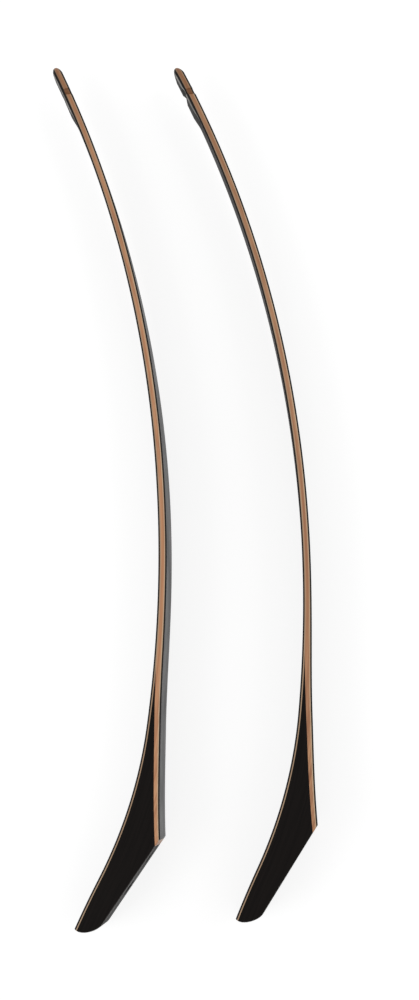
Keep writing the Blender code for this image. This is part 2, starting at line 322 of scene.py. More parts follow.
def filed_half_width(limb, s, depth):
    """The smaller of the two widths, with the corner between them eased by a parabola."""
    plain, filed = plain_half_width(limb, s, depth), groove_half_width(limb, s, depth)
    mix = np.clip(0.5 + 0.5 * (filed - plain) / GROOVE_EASE, 0.0, 1.0)
    return filed + (plain - filed) * mix - GROOVE_EASE * mix * (1.0 - mix)


nock = limbs[0]["length"] - NOCK_DISTANCE
print("half width at the nock", millimetres(filed_half_width(limbs[0], nock, WEDGE_TOP)), "mm")

# %% [markdown]
# ## The ground end of the butt
# The butt ends in a rounded curve from the corner of the back into a flat pad. The pad is ground through
# the belly layers too, so their ends show as bands, and each line of constant depth starts where it leaves
# the curve or the pad. The curve has two handles, like one span of a curve object, and its places are
# looked up on a dense row of samples. Where the ground faces meet the limb's sides, the corner is broken:
# the width shrinks over the last half millimetre.

# %% Where the lines leave the butt
PAD_LENGTH = 0.0677
END_DROP = 0.0031
END_REACH = 0.0050
END_BLEND = 0.0051
END_SAMPLES = 2000
PAD_SAMPLES = 4000
GROUND_EASE = 0.0005
GROUND_ZONE = 0.110


def pad_top(limb):
    """Side-view point where the pad meets the belly."""
    return limb_point(PAD_START, belly_face(limb, PAD_START))


def end_curve(limb, share):
    """The butt's end: the cubic with handles at the back's corner and at the pad's foot."""
    foot = pad_top(limb) - PAD_LENGTH * along(PAD_HEADING)
    corner_handle = END_REACH * inward(BUTT_HEADING) - END_DROP * along(BUTT_HEADING)
    foot_handle = foot - END_BLEND * along(PAD_HEADING)
    t = np.asarray(share)[..., None]
    return 3 * t * (1 - t) ** 2 * corner_handle + 3 * t ** 2 * (1 - t) * foot_handle + t ** 3 * foot


def end_share(limb, depth):
    """Share of the end curve at which it has come this deep under the back."""
    share = np.linspace(0.0, 1.0, END_SAMPLES)
    return np.interp(depth, end_curve(limb, share) @ inward(BUTT_HEADING), share)


def butt_start(limb, depth):
    """Distance at which a line of this depth leaves the end curve."""
    return float(end_curve(limb, end_share(limb, depth)) @ along(BUTT_HEADING))


def pad_start(limb, depth):
    """Distance at which a line, whose depth is a function of s, crosses the pad's plane."""
    s = np.linspace(0.0, SPREAD_END, PAD_SAMPLES)
    outside = (limb_point(s, depth(s)) - pad_top(limb)) @ inward(PAD_HEADING)
    return float(np.interp(0.0, -outside, s))


def ground_distance(limb, point):
    """Distance to the pad's line, or to the nearest sample of the end curve if that is less."""
    from_top = point - pad_top(limb)
    up = from_top @ along(PAD_HEADING)
    past = np.maximum(up, 0.0) + np.maximum(-PAD_LENGTH - up, 0.0)
    to_pad = np.hypot(from_top @ inward(PAD_HEADING), past)
    samples = end_curve(limb, np.linspace(0.0, 1.0, END_SAMPLES))
    to_end = np.sqrt(((point[:, None] - samples) ** 2).sum(axis=-1).min(axis=1))
    return np.minimum(to_pad, to_end)


def ground_ease(limb, s, point):
    """How far the broken corner has come at each point, from 0 inside to 1 on the ground face."""
    near = s < GROUND_ZONE
    ease = np.zeros(s.shape)
    ease[near] = np.maximum(1.0 - ground_distance(limb, point[near]) / GROUND_EASE, 0.0)
    return ease


for limb in limbs:
    print(limb["name"], "core leaves the pad", millimetres(pad_start(limb, core_top)), "mm up the back")

# %% [markdown]
# ## Sections and skins
# Every layer is a section carried along the limb: a ring of points round a thin rectangle, whose outer
# corners may be rounded. A ring holds, for each of its points, the share of the way from the layer's back
# face to its belly face, the place across the width, how far a corner's arc pulls it in and down, and how
# much it is rubbed. Whole rings for all stations come out as one array, and the skin between them is
# quads, with a face over each end. At the nose a layer runs out to no width at all, so points that fall
# together are merged there, and the end closes by itself.

# %% Rings round a layer
CORNER_STEPS = 6
MERGE_DIGITS = 8
FACE_STEPS = 9
FACE_GUARD = 0.985
SIDE_SHARES = (0.2, 0.4, 0.6, 0.8)
OTHER_SIDE = (1.0, -1.0, 1.0, 1.0, 1.0)


def ring_rows(share, across, inset=0.0, dip=0.0, edge=0.0):
    """Rows of share, across, inset, dip and edge, with plain numbers repeated for every row."""
    return np.stack(np.broadcast_arrays(share, across, inset, dip, edge), axis=-1).astype(float)


def corner_arc(share, across, rising):
    """A quarter circle: pulled in by 1 - cosine and towards the other face by 1 - sine of the turn."""
    turn = np.linspace(0.0, math.pi / 2, CORNER_STEPS)
    turn = turn if rising else turn[::-1]
    towards = 1.0 if share < 0.5 else -1.0
    return ring_rows(share, across, 1.0 - np.cos(turn), towards * (1.0 - np.sin(turn)), np.sin(2 * turn))


def face_run(share, start, inset=0.0, steps=FACE_STEPS):
    """Points across one face: a guard close to each end, so that the corner's shading stays narrow."""
    middle = np.linspace(start, -start, steps + 2)[1:-1]
    return ring_rows(share, np.concatenate([[FACE_GUARD * start], middle, [-FACE_GUARD * start]]), inset)


def section(round_back, round_belly):
    """The ring: up the near side, across the belly face, down the far side and back across the back."""
    def corner(rounded, share, across, rising):
        return corner_arc(share, across, rising) if rounded else ring_rows([share], across)

    shares = np.array(SIDE_SHARES)
    return np.concatenate([
        corner(round_back, 0.0, 1.0, False), ring_rows(shares, 1.0), corner(round_belly, 1.0, 1.0, True),
        face_run(1.0, 1.0, float(round_belly)),
        corner(round_belly, 1.0, -1.0, False), ring_rows(shares[::-1], -1.0),
        corner(round_back, 0.0, -1.0, True), face_run(0.0, -1.0, float(round_back))])


def layer_rings(limb, back, belly, shape, radius):
    """Ring points between two lines of nominal distances and depths. Each lies its share of the way
    across, plus a dip in corner radii, and at the half width less an inset and the broken corner."""
    share, across, inset, dip, edge = shape.T
    (back_s, back_depth), (belly_s, belly_depth) = back, belly
    span = np.hypot(belly_s - back_s, belly_depth - back_depth)
    part = share + dip * (radius / span)[:, None]
    depth = back_depth[:, None] + part * (belly_depth - back_depth)[:, None]
    s = real_distance(limb, back_s[:, None] + part * (belly_s - back_s)[:, None], depth)
    point = limb_point(s, depth)
    ease = ground_ease(limb, s, point)
    half = filed_half_width(limb, s, depth) - radius[:, None] * inset - GROUND_EASE * ease ** 2
    # The broken ground corners take the pale mark; on the wedge it paints a highlight there.
    worn = np.maximum(edge, ease * (np.abs(across) == 1.0))
    return to_world(limb, point, np.maximum(half, 0.0) * across), worn


def skin(name, rings, edge):
    """A closed mesh over a stack of rings: quads from ring to ring and one face over each end that has a
    width. Equal points are merged first. A quad then keeps each corner that differs from the one before:
    all four, or three for a triangle, and with fewer it is left out."""
    count, around = rings.shape[:2]
    points, first, place = np.unique(rings.reshape(-1, 3).round(MERGE_DIGITS), axis=0, return_index=True,
                                     return_inverse=True)
    index = place.reshape(count, around)
    beside = np.roll(index, -1, axis=1)
    quads = np.stack([index[:-1], beside[:-1], beside[1:], index[1:]], axis=-1).reshape(-1, 4)
    kept = quads != np.roll(quads, 1, axis=1)
    corners = kept.sum(axis=1)
    triangles = quads[corners == 3][kept[corners == 3]].reshape(-1, 3)
    ends = [end.tolist() for end in (index[0, ::-1], index[-1]) if len(np.unique(end)) == around]
    mesh = bpy.data.meshes.new(name)
    mesh.from_pydata(points, [], quads[corners == 4].tolist() + triangles.tolist() + ends)
    edge_mark = edge.astype(np.float32).ravel()[first]
    mesh.attributes.new("edge", "FLOAT", "POINT").data.foreach_set("value", edge_mark)
    obj = bpy.data.objects.new(name, mesh)
    bpy.context.scene.collection.objects.link(obj)
    return obj


print("a ring with both faces square has", len(section(False, False)), "points,",
      "with rounded corners", len(section(True, True)))

# %% [markdown]
# ## Stations along the limb
# Rings are close together where the shape changes fast: at the pad, in the string grooves and round the
# nose. In between the bend is so even that wide steps do. Stations are nominal distances. Near the grooves
# they lean along with the file, so that a groove's edge runs along a ring and not across many, and in the
# nose they are drawn in to its round end, each depth to its own.

# %% Stations shared by the layers
BUTT_ZONE = 0.160
TIP_ZONE = 0.034
LEAN_FADE = 0.006
BUTT_STATIONS = 56
BLADE_STATIONS = 120
TIP_STATIONS = 190
NOSE_STATIONS = 30


def smooth_step(share):
    """The cubic 3x^2 - 2x^3 on shares clamped from 0 to 1."""
    share = np.clip(share, 0.0, 1.0)
    return share * share * (3.0 - 2.0 * share)


def real_distance(limb, nominal, depth):
    """Nominal distance plus the groove's lean, which fades out on both sides of the groove. From the
    nose's start on, the same share of the way to the depth line's own end."""
    shoulder, nose = limb["length"] - NOCK_DISTANCE, limb["length"] - NOSE_LENGTH
    lean = 1.0 - smooth_step((np.abs(nominal - shoulder) - GROOVE_RADIUS) / LEAN_FADE)
    leaning = nominal + lean * (groove_axis(limb, depth) - shoulder)
    drawn_in = nose + (nominal - nose) / NOSE_LENGTH * (tip_end(limb, depth) - nose)
    return np.where(nominal > nose, drawn_in, leaning)


def tip_stations(limb):
    """Even steps through the grooves, then steps that shrink like a sine towards the end."""
    nose = limb["length"] - NOSE_LENGTH
    grooves = np.linspace(limb["length"] - TIP_ZONE, nose, TIP_STATIONS, endpoint=False)
    shares = np.sin(np.linspace(0.0, math.pi / 2, NOSE_STATIONS))
    return np.concatenate([grooves, nose + NOSE_LENGTH * shares])


def layer_stations(limb, start):
    """Steps that grow like a square from a face's own start, even steps along the blade, then the tip's."""
    butt = start + (BUTT_ZONE - start) * np.linspace(0.0, 1.0, BUTT_STATIONS, endpoint=False) ** 2
    blade = np.linspace(BUTT_ZONE, limb["length"] - TIP_ZONE, BLADE_STATIONS, endpoint=False)
    return np.concatenate([butt, blade, tip_stations(limb)])


print("stations per layer:", BUTT_STATIONS + BLADE_STATIONS + TIP_STATIONS + NOSE_STATIONS)

# %% [markdown]
# ## Finishing touches that every piece gets
# A finished piece needs smooth shading with crisp corners, its limb coordinates as an attribute, so that
# grain follows the bend, a mark for the painted shade in the string grooves and the handling stain on the
# tip, and its place on a body of the frame. One function does this for all pieces, so none is forgotten.

# %% Finish a piece
SHARP_ANGLE = math.radians(35)
HANDLED = 0.25
TIP_WAX = (0.20, 0.32)


def finish_piece(obj, limb, layer, slot):
    """Writes s, depth and height as a vector attribute and a value that is 1 in a groove, where it paints
    the groove's shade, and falls off in straight lines down the limb as a handling stain. Ties the piece to
    its body, gives it the finish of its slot and hides the imported part that it stands for."""
    mesh = obj.data
    side_view, z = to_limb(limb, mesh_points(mesh))
    s, depth = limb_coordinates(side_view)
    filed = groove_half_width(limb, s, depth)
    # The groove's mark paints the shadow in the filed groove; the ramp down the limb is a stain from
    # handling.
    cut = np.clip((plain_half_width(limb, s, depth) - filed) / GROOVE_EASE, 0.0, 1.0)
    shoulder = limb["length"] - NOCK_DISTANCE
    stops = [shoulder - HANDLED, shoulder - GROOVE_RADIUS, shoulder + GROOVE_RADIUS]
    handled = np.interp(s, stops, (0.0, *TIP_WAX))
    shade_and_stain = np.maximum(cut * (np.abs(z) > filed - GROOVE_EASE), handled).astype(np.float32)
    place = np.stack([s + GRAIN_START[limb["name"]], depth, z], axis=-1).astype(np.float32)
    mesh.attributes.new("limb", "FLOAT_VECTOR", "POINT").data.foreach_set("vector", place.ravel())
    mesh.attributes.new("groove", "FLOAT", "POINT").data.foreach_set("value", shade_and_stain)
    mesh.shade_smooth()
    mesh.set_sharp_from_angle(angle=SHARP_ANGLE)
    mesh.materials.clear()
    mesh.materials.append(finishes[slot])
    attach(obj, f"{limb['name']}_limb")
    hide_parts(f"{limb['name']}_{layer}")
    return obj


print("pieces ride on", [f"{limb['name']}_limb" for limb in limbs])

# %% [markdown]
# ## Node helpers
# Shaders are easier to read as a list of nodes with their values and a list of links. A few small helpers
# add a node with its settings, feed an input from a link or a plain value, and do one sum.

# %% Helpers that add nodes


def add_node(tree, kind, values=None, **settings):
    """A node of one kind, with its settings and the plain values of its inputs."""
    node = tree.nodes.new(kind)
    for name, value in settings.items():
        setattr(node, name, value)
    for name, value in (values or {}).items():
        node.inputs[name].default_value = value
    return node


def attribute(tree, name, output="Fac"):
    """What an attribute of the mesh holds at the shaded point."""
    return add_node(tree, "ShaderNodeAttribute", attribute_name=name).outputs[output]


def new_group(name, inputs, outputs):
    """A shader node group with named sockets, each given as a name, a type and a default."""
    tree = bpy.data.node_groups.new(name, "ShaderNodeTree")
    for socket, kind, value in inputs:
        item = tree.interface.new_socket(socket, in_out="INPUT", socket_type=f"NodeSocket{kind}")
        item.default_value = value
    for socket, kind in outputs:
        tree.interface.new_socket(socket, in_out="OUTPUT", socket_type=f"NodeSocket{kind}")
    return tree, tree.nodes.new("NodeGroupInput"), tree.nodes.new("NodeGroupOutput")


def use_group(tree, group, values):
    """Places a node group in a material with its own values."""
    return add_node(tree, "ShaderNodeGroup", values, node_tree=group)


def new_finish(name):
    """An empty material with its shader."""
    mat = bpy.data.materials.new(name)
    mat.use_nodes = True
    return mat, mat.node_tree, mat.node_tree.nodes["Principled BSDF"]


finishes = {}
print("helpers for nodes, groups and materials ready")

# %% Helpers that work on values and colours
MIX_FACTOR, MIX_FIRST, MIX_SECOND, MIX_RESULT = 0, 6, 7, 2


def feed(tree, value, socket):
    """Links what comes out of a node, or sets a plain value on the socket itself."""
    if isinstance(value, bpy.types.NodeSocket):
        tree.links.new(value, socket)
    else:
        socket.default_value = value


def calculate(tree, operation, first, second):
    """One sum on two values."""
    node = add_node(tree, "ShaderNodeMath", operation=operation)
    for socket, value in zip(node.inputs, (first, second)):
        feed(tree, value, socket)
    return node.outputs[0]


def remap(tree, socket, low, high, new_low=0.0, new_high=1.0):
    """A value stretched from one range to another and clamped."""
    node = add_node(tree, "ShaderNodeMapRange", {"From Min": low, "From Max": high, "To Min": new_low,
                                                 "To Max": new_high})
    tree.links.new(socket, node.inputs["Value"])
    return node.outputs["Result"]


def mixed(tree, mask, first, second, blend="MIX"):
    """A colour between two others. Each may be a socket or a plain colour, and a value counts as a grey.
    Sockets of this node share their names with those for numbers, so they are found by their places."""
    node = add_node(tree, "ShaderNodeMix", data_type="RGBA", blend_type=blend)
    for place, value in ((MIX_FACTOR, mask), (MIX_FIRST, first), (MIX_SECOND, second)):
        feed(tree, value, node.inputs[place])
    return node.outputs[MIX_RESULT]


print("helpers for sums, ranges and mixes ready")

# %% [markdown]
# ## Grain along the limb
# Wood fibres run along the limb, so streaks are long along `s` and narrow across. Noise on plain object
# coordinates would cut straight through the bend. This group reads the limb coordinates instead and divides
# them by a streak's length and width, so that round noise becomes a long streak. Fine fibres and short dark
# pores are the same at smaller sizes.

# %% Group: wood grain
FIBRE_SHARES = (0.35, 0.22)
PORE_SHARES = (0.05, 0.16)
STREAK_LEVELS = (0.32, 0.68)
FIBRE_LEVELS = (0.25, 0.75, 0.80, 1.18)
PORE_LEVELS = (0.66, 0.76, 0.0, 0.55)


def stretched(tree, source, length, width, shares=(1.0, 1.0)):
    """Limb coordinates over a share of a length along the limb and a share of a width across it."""
    length, width = (calculate(tree, "MULTIPLY", *pair) for pair in zip((length, width), shares))
    size = add_node(tree, "ShaderNodeCombineXYZ")
    for axis, value in zip("XYZ", (length, width, width)):
        tree.links.new(value, size.inputs[axis])
    divide = add_node(tree, "ShaderNodeVectorMath", operation="DIVIDE")
    tree.links.new(source, divide.inputs[0])
    tree.links.new(size.outputs[0], divide.inputs[1])
    return divide.outputs[0]


def noise(tree, vector, detail, roughness=0.55, distortion=0.0):
    """Noise of unit size on a vector, as a value round one half."""
    node = add_node(tree, "ShaderNodeTexNoise", {"Scale": 1.0, "Detail": detail, "Roughness": roughness,
                                                 "Distortion": distortion})
    tree.links.new(vector, node.inputs["Vector"])
    return node.outputs["Fac"]


def wood_grain_group():
    """Streaks, fibres and pores: colours mixed by stretched noises, and a height for the bump."""
    tree, given, result = new_group("wood_grain", [
        ("Light", "Color", (0.5, 0.3, 0.2, 1.0)), ("Dark", "Color", (0.3, 0.15, 0.1, 1.0)),
        ("Pore", "Color", (0.1, 0.05, 0.03, 1.0)), ("Streak Length", "Float", 0.08),
        ("Streak Width", "Float", 0.0009)], [("Color", "Color"), ("Height", "Float"), ("Fibre", "Float")])
    where = attribute(tree, "limb", "Vector")
    size = given.outputs["Streak Length"], given.outputs["Streak Width"]
    streak = noise(tree, stretched(tree, where, *size), detail=3.0, roughness=0.5, distortion=0.4)
    fibre = noise(tree, stretched(tree, where, *size, FIBRE_SHARES), detail=4.0)
    pores = noise(tree, stretched(tree, where, *size, PORE_SHARES), detail=2.0)
    body = mixed(tree, remap(tree, streak, *STREAK_LEVELS), given.outputs["Dark"], given.outputs["Light"])
    lined = mixed(tree, 1.0, body, remap(tree, fibre, *FIBRE_LEVELS), "MULTIPLY")
    pore_mask = remap(tree, pores, *PORE_LEVELS)
    tree.links.new(mixed(tree, pore_mask, lined, given.outputs["Pore"]), result.inputs["Color"])
    tree.links.new(calculate(tree, "SUBTRACT", fibre, pore_mask), result.inputs["Height"])
    tree.links.new(fibre, result.inputs["Fibre"])
    return tree


wood_grain = wood_grain_group()
print("group", wood_grain.name, "with", len(wood_grain.nodes), "nodes")

# %% [markdown]
# ## Rubbed edges, painted highlights and handling marks
# Corners of a limb are eased with sandpaper and rubbed by hands, bags and strings, so they look paler than
# the faces. On the wedge and the overlays the same pale mark is a painted highlight of bevels and rounded
# edges. Each ring marks its corner points in the attribute `edge`, and a noise breaks that mark up, because
# an even pale line would look drawn on. A second output gives large soft patches, as fingers leave them,
# for the roughness.

# %% Group: edge rub and painted highlight
BREAK_SHARES = (0.3, 0.06)
BREAK_LEVELS = (0.30, 0.62, 0.25, 1.0)
SMUDGE_SHARES = (1.0, 0.5)
SMUDGE_LEVELS = (0.30, 0.70)


def edge_rub_and_highlight_group():
    """Rub = corner mark times a noise that cuts it, times an amount; it is wear on some finishes and a
    painted highlight on others. Smudge = a wide soft noise.
    """
    tree, given, result = new_group("edge_rub_and_highlight", [("Amount", "Float", 0.6), ("Patch Size", "Float", 0.02)],
                                    [("Rub", "Float"), ("Smudge", "Float")])
    where = attribute(tree, "limb", "Vector")
    corner = attribute(tree, "edge")
    patch = given.outputs["Patch Size"]
    breaks = noise(tree, stretched(tree, where, patch, patch, BREAK_SHARES), detail=5.0, roughness=0.65)
    wear = calculate(tree, "MULTIPLY", corner, remap(tree, breaks, *BREAK_LEVELS))
    tree.links.new(calculate(tree, "MULTIPLY", wear, given.outputs["Amount"]), result.inputs["Rub"])
    smudge = noise(tree, stretched(tree, where, patch, patch, SMUDGE_SHARES), detail=3.0)
    tree.links.new(remap(tree, smudge, *SMUDGE_LEVELS), result.inputs["Smudge"])
    return tree


edge_rub_and_highlight = edge_rub_and_highlight_group()
print("group", edge_rub_and_highlight.name, "with", len(edge_rub_and_highlight.nodes), "nodes")

# %% [markdown]
# ## Wood finishes
# Core and veneers are clear-finished wood: the same grain group with other colours and sizes. The string
# grooves are filed through the layers, and their shade is painted in: the attribute `groove` mixes in a
# dark brown there, and a weaker share of it on the head above them as a stain from handling. The veneer at
# the back is a darker sheet than the one at the belly, which the depth tells apart. The upper limb's core
# is made lighter and the lower one's darker, and as the lower limb's grain starts metres further on, the
# distance tells which limb it is.

# %% Materials: core and veneers
# Painted shade: the dark brown stands for the shadow in the string grooves, and a weaker share of it is the
# handling stain on the head.
GROOVE_SHADE_AND_STAIN_BROWN = (0.155, 0.053, 0.0095, 1.0)
BACK_DEPTHS = (0.0019, 0.0030)
BETWEEN_LIMBS = (1.0, 3.0)
SHADE_AND_STAIN_LEVELS = (0.05, 0.5, 0.0, 0.85)
ROUGHNESS_LEVELS = (0.3, 0.7, 0.38, 0.54)
WOOD_BUMP = 0.00004
WOODS = {
    "brown_core": {
        "light": (0.567, 0.294, 0.149, 1.0), "dark": (0.385, 0.162, 0.075, 1.0),
        "pore": (0.21, 0.078, 0.034, 1.0), "streak": (0.085, 0.0011), "limb_tones": (1.10, 0.89)},
    "light_veneer": {
        "light": (0.62, 0.44, 0.285, 1.0), "dark": (0.48, 0.30, 0.178, 1.0),
        "pore": (0.30, 0.165, 0.085, 1.0), "streak": (0.060, 0.0007), "back_shade": 0.75},
}


def bump(tree, shader, height, distance):
    """A bump that gives the shader its normal: a height of 1 stands out by the distance in metres."""
    node = add_node(tree, "ShaderNodeBump", {"Distance": distance, "Strength": 1.0})
    tree.links.new(height, node.inputs["Height"])
    tree.links.new(node.outputs["Normal"], shader.inputs["Normal"])


def limb_axis(tree, axis):
    """One limb coordinate: X is the distance along the back, Y the depth under it and Z the height."""
    axes = add_node(tree, "ShaderNodeSeparateXYZ")
    tree.links.new(attribute(tree, "limb", "Vector"), axes.inputs[0])
    return axes.outputs[axis]


def wood_finish(name, light, dark, pore, streak, back_shade=1.0, limb_tones=(1.0, 1.0)):
    """Clear-finished wood with painted shade in the grooves and a handling stain on the head, a shade for
    what lies near the back and one for each limb, a roughness that follows the fibres and a fine bump."""
    mat, tree, shader = new_finish(name)
    grain = use_group(tree, wood_grain, {"Light": light, "Dark": dark, "Pore": pore,
                                         "Streak Length": streak[0], "Streak Width": streak[1]})
    wood = grain.outputs["Color"]
    # The first factor darkens the back veneer; the second makes the upper limb's core lighter and the lower
    # one's darker.
    for shade in (remap(tree, limb_axis(tree, "Y"), *BACK_DEPTHS, back_shade, 1.0),
                  remap(tree, limb_axis(tree, "X"), *BETWEEN_LIMBS, *limb_tones)):
        wood = mixed(tree, 1.0, wood, shade, "MULTIPLY")
    # Painted groove shade and handling stain, mixed in as one dark brown.
    shade_and_stain = remap(tree, attribute(tree, "groove"), *SHADE_AND_STAIN_LEVELS)
    colour = mixed(tree, shade_and_stain, wood, GROOVE_SHADE_AND_STAIN_BROWN)
    tree.links.new(colour, shader.inputs["Base Color"])
    tree.links.new(remap(tree, grain.outputs["Fibre"], *ROUGHNESS_LEVELS), shader.inputs["Roughness"])
    bump(tree, shader, grain.outputs["Height"], WOOD_BUMP)
    finishes[name] = mat


for name, look in WOODS.items():
    wood_finish(name, **look)
print("wood finishes:", list(WOODS))

# %% [markdown]
# ## Black finishes
# The facings are black glass fibre laid in straight lines under a satin finish: almost no colour of their
# own, so what is seen is gloss, with fibres that run along the limb. The wedge is black-dyed hardwood, and
# the overlays are black laminate that was filed and sanded. All three show paler corners: worn on the
# facings, and a painted highlight on the wedge's pad and ground edges and on the overlays' rounding. The
# back, which lies against bags and racks, has lost more of its gloss than the belly.

# %% Materials: facings, wedge and overlay
BACK_ROUGHNESS = 0.20
FIBRE_SHADES = (0.7, 1.3)
SMUDGE_SWING = 0.06
PATCH_SIZE = 0.03
BLACKS = {
    "facing_glass": {
        "base": (0.0105, 0.0085, 0.0075), "rub_and_highlight": (0.024, 0.021, 0.019), "amount": 0.4,
        "roughness": 0.46, "specular": 0.24, "fibre": (0.12, 0.0009), "dents": 0.00002},
    # The wedge's pale colour is a painted highlight on its pad and ground corners.
    "black_wedge": {
        "base": (0.0056, 0.0040, 0.0034), "rub_and_highlight": (0.150, 0.142, 0.136), "amount": 0.9,
        "roughness": 0.58, "specular": 0.10, "fibre": (0.05, 0.0012), "dents": 0.00003},
    "tip_overlay": {
        # The overlay's pale colour is a painted highlight on its rounded edges.
        "base": (0.010, 0.009, 0.008), "rub_and_highlight": (0.42, 0.41, 0.395), "amount": 0.9,
        "roughness": 0.50, "specular": 0.20, "fibre": (0.02, 0.0009), "dents": 0.00003},
}


def black_finish(name, base, rub_and_highlight, amount, roughness, specular, fibre, dents):
    """Black stock: a fibrous base, paler at worn corners and where a highlight is painted, with bump along
    the fibres. The roughness is smudged and higher near the back, at small depths."""
    mat, tree, shader = new_finish(name)
    shader.inputs["Specular IOR Level"].default_value = specular
    dark, light = ((*(shade * c for c in base), 1.0) for shade in FIBRE_SHADES)
    grain = use_group(tree, wood_grain, {"Light": light, "Dark": dark, "Pore": dark,
                                         "Streak Length": fibre[0], "Streak Width": fibre[1]})
    rub = use_group(tree, edge_rub_and_highlight, {"Amount": amount, "Patch Size": PATCH_SIZE})
    # The pale colour is wear on the facings and a painted highlight on the wedge and the overlays.
    colour = mixed(tree, rub.outputs["Rub"], grain.outputs["Color"], (*rub_and_highlight, 1.0))
    tree.links.new(colour, shader.inputs["Base Color"])
    low, high = roughness - SMUDGE_SWING, roughness + SMUDGE_SWING
    smudged = remap(tree, rub.outputs["Smudge"], 0.0, 1.0, low, high)
    dull_back = remap(tree, limb_axis(tree, "Y"), *BACK_DEPTHS, BACK_ROUGHNESS, 0.0)
    tree.links.new(calculate(tree, "ADD", smudged, dull_back), shader.inputs["Roughness"])
    bump(tree, shader, grain.outputs["Height"], dents)
    finishes[name] = mat


for name, look in BLACKS.items():
    black_finish(name, **look)
print("black finishes:", list(BLACKS))

# %% [markdown]
# ## Layers that run the whole length
# Facings and veneers end on the butt's end curve at the back and are ground off by the pad on the belly.
# A facing has its outer corners eased, and on the back the rounding dies out under the tip overlay, where
# the two are filed as one.

# %% Make the blade layers
EDGE_RADIUS = 0.0003
OVERLAY_LENGTH = 0.049
OVERLAY_RAMP = 0.013


def constant(depth):
    """A depth that is the same all along."""
    return lambda s: np.full(np.shape(s), depth)


def covered(limb, s):
    """How far the overlay has risen over the back, from 0 to 1."""
    return smooth_step((s - limb["length"] + OVERLAY_LENGTH) / OVERLAY_RAMP)


def face_line(limb, depth, start):
    """Nominal distances and depths of one face of a layer."""
    s = layer_stations(limb, start)
    return s, depth(s)


def back_layer(limb, top, bottom, rounded):
    """A layer between two constant depths, from the butt's end curve to the nose."""
    back = face_line(limb, constant(top), butt_start(limb, top))
    belly = face_line(limb, constant(bottom), butt_start(limb, bottom))
    radius = EDGE_RADIUS * (1.0 - covered(limb, back[0]))
    return layer_rings(limb, back, belly, section(rounded, False), radius)


def belly_layer(limb, top, bottom, rounded):
    """A layer between two depths that are functions of s, from the ground pad to the nose."""
    back = face_line(limb, top, pad_start(limb, top))
    belly = face_line(limb, bottom, pad_start(limb, bottom))
    return layer_rings(limb, back, belly, section(False, rounded), np.full(len(back[0]), EDGE_RADIUS))


def blade_layers(limb):
    """The five layers of the blade: how each is made, its slot, its faces and if its corners are eased."""
    veneer, glass, belly = (partial(face, limb) for face in (belly_veneer_top, belly_glass_top, belly_face))
    return {
        "back_glass": (back_layer, "facing_glass", 0.0, BACK_VENEER_TOP, True),
        "back_veneer": (back_layer, "light_veneer", BACK_VENEER_TOP, WEDGE_TOP, False),
        "core_lamination": (belly_layer, "brown_core", core_top, veneer, False),
        "belly_veneer": (belly_layer, "light_veneer", veneer, glass, False),
        "belly_glass": (belly_layer, "facing_glass", glass, belly, True),
    }


made = {}
for limb in limbs:
    for layer, (make, slot, *faces) in blade_layers(limb).items():
        made[limb["name"], layer] = skin(f"{limb['name']}_limb_{layer}", *make(limb, *faces)), slot
print("blade layers:", len(made))

# %% [markdown]
# ## The butt wedge
# The wedge fills the stack from the butt's end to the fade. Its back line follows the veneer and its belly
# line is the end curve, the pad and the fade, one after the other. Stations on both lines are paired, and
# the rings between them are skinned as before, with extra points close to the belly line, where the corner
# is broken. Two pale lines along the pad's long edges and the broken corners are a painted highlight.

# %% Make the wedges
END_STATIONS = 40
PAD_STATIONS = 30
FADE_STATIONS = 80
FADE_FEATHER = 0.00004
GROUND_DIPS = (4.0, 3.2, 2.5, 1.9, 1.4, 1.0, 0.75, 0.5, 0.28, 0.12, 0.03)
GROUND_SHARE = 0.11
UPRIGHT_SHARES = (0.0, 0.25, 0.5)
PAD_STEPS = 29
# Painted highlights on the pad: the middle and width of each pale line across it.
PAD_HIGHLIGHTS = ((0.66, 0.20), (-0.95, 0.22))


def wedge_section():
    """The ring with points at small dips under the belly face. Each painted highlight line across that face
    is a bell curve with its middle and its width."""
    dips = -np.array(GROUND_DIPS)
    face = face_run(1.0, 1.0, steps=PAD_STEPS)
    _, across, _, _, edge = face.T
    edge[:] = sum(np.exp(-((across - middle) / width) ** 2) for middle, width in PAD_HIGHLIGHTS)
    near = np.concatenate([ring_rows(np.array(UPRIGHT_SHARES), 1.0), ring_rows(1.0, 1.0, dip=dips),
                           ring_rows([1.0], 1.0)])
    far = near[::-1] * OTHER_SIDE
    return np.concatenate([near, face, far, face_run(0.0, -1.0)])


def wedge_lines(limb):
    """Back line and belly line of the wedge as distances and depths."""
    shares = np.linspace(end_share(limb, WEDGE_TOP + FADE_FEATHER), 1.0, END_STATIONS)
    fade_start = pad_start(limb, core_top)
    feather = ((FADE_FEATHER + CORE_EXTRA) / SPREAD_AT_PAD) ** (1.0 / SPREAD_POWER)
    fade_end = SPREAD_END - feather * (SPREAD_END - PAD_START)
    fade_s = fade_start + (fade_end - fade_start) * np.linspace(0.0, 1.0, FADE_STATIONS) ** 2
    end = end_curve(limb, shares)
    up = np.linspace(0.0, 1.0, PAD_STATIONS)[1:-1, None]
    pad = end[-1] + up * (limb_point(fade_start, core_top(fade_start)) - end[-1])
    ground_s, ground_depth = limb_coordinates(np.concatenate([end, pad]))
    first_s = butt_start(limb, WEDGE_TOP)
    back_s = np.concatenate([np.linspace(first_s, fade_start, len(ground_s) + 1)[:-1], fade_s])
    belly = np.concatenate([ground_s, fade_s]), np.concatenate([ground_depth, core_top(fade_s)])
    return (back_s, np.full(len(back_s), WEDGE_TOP)), belly


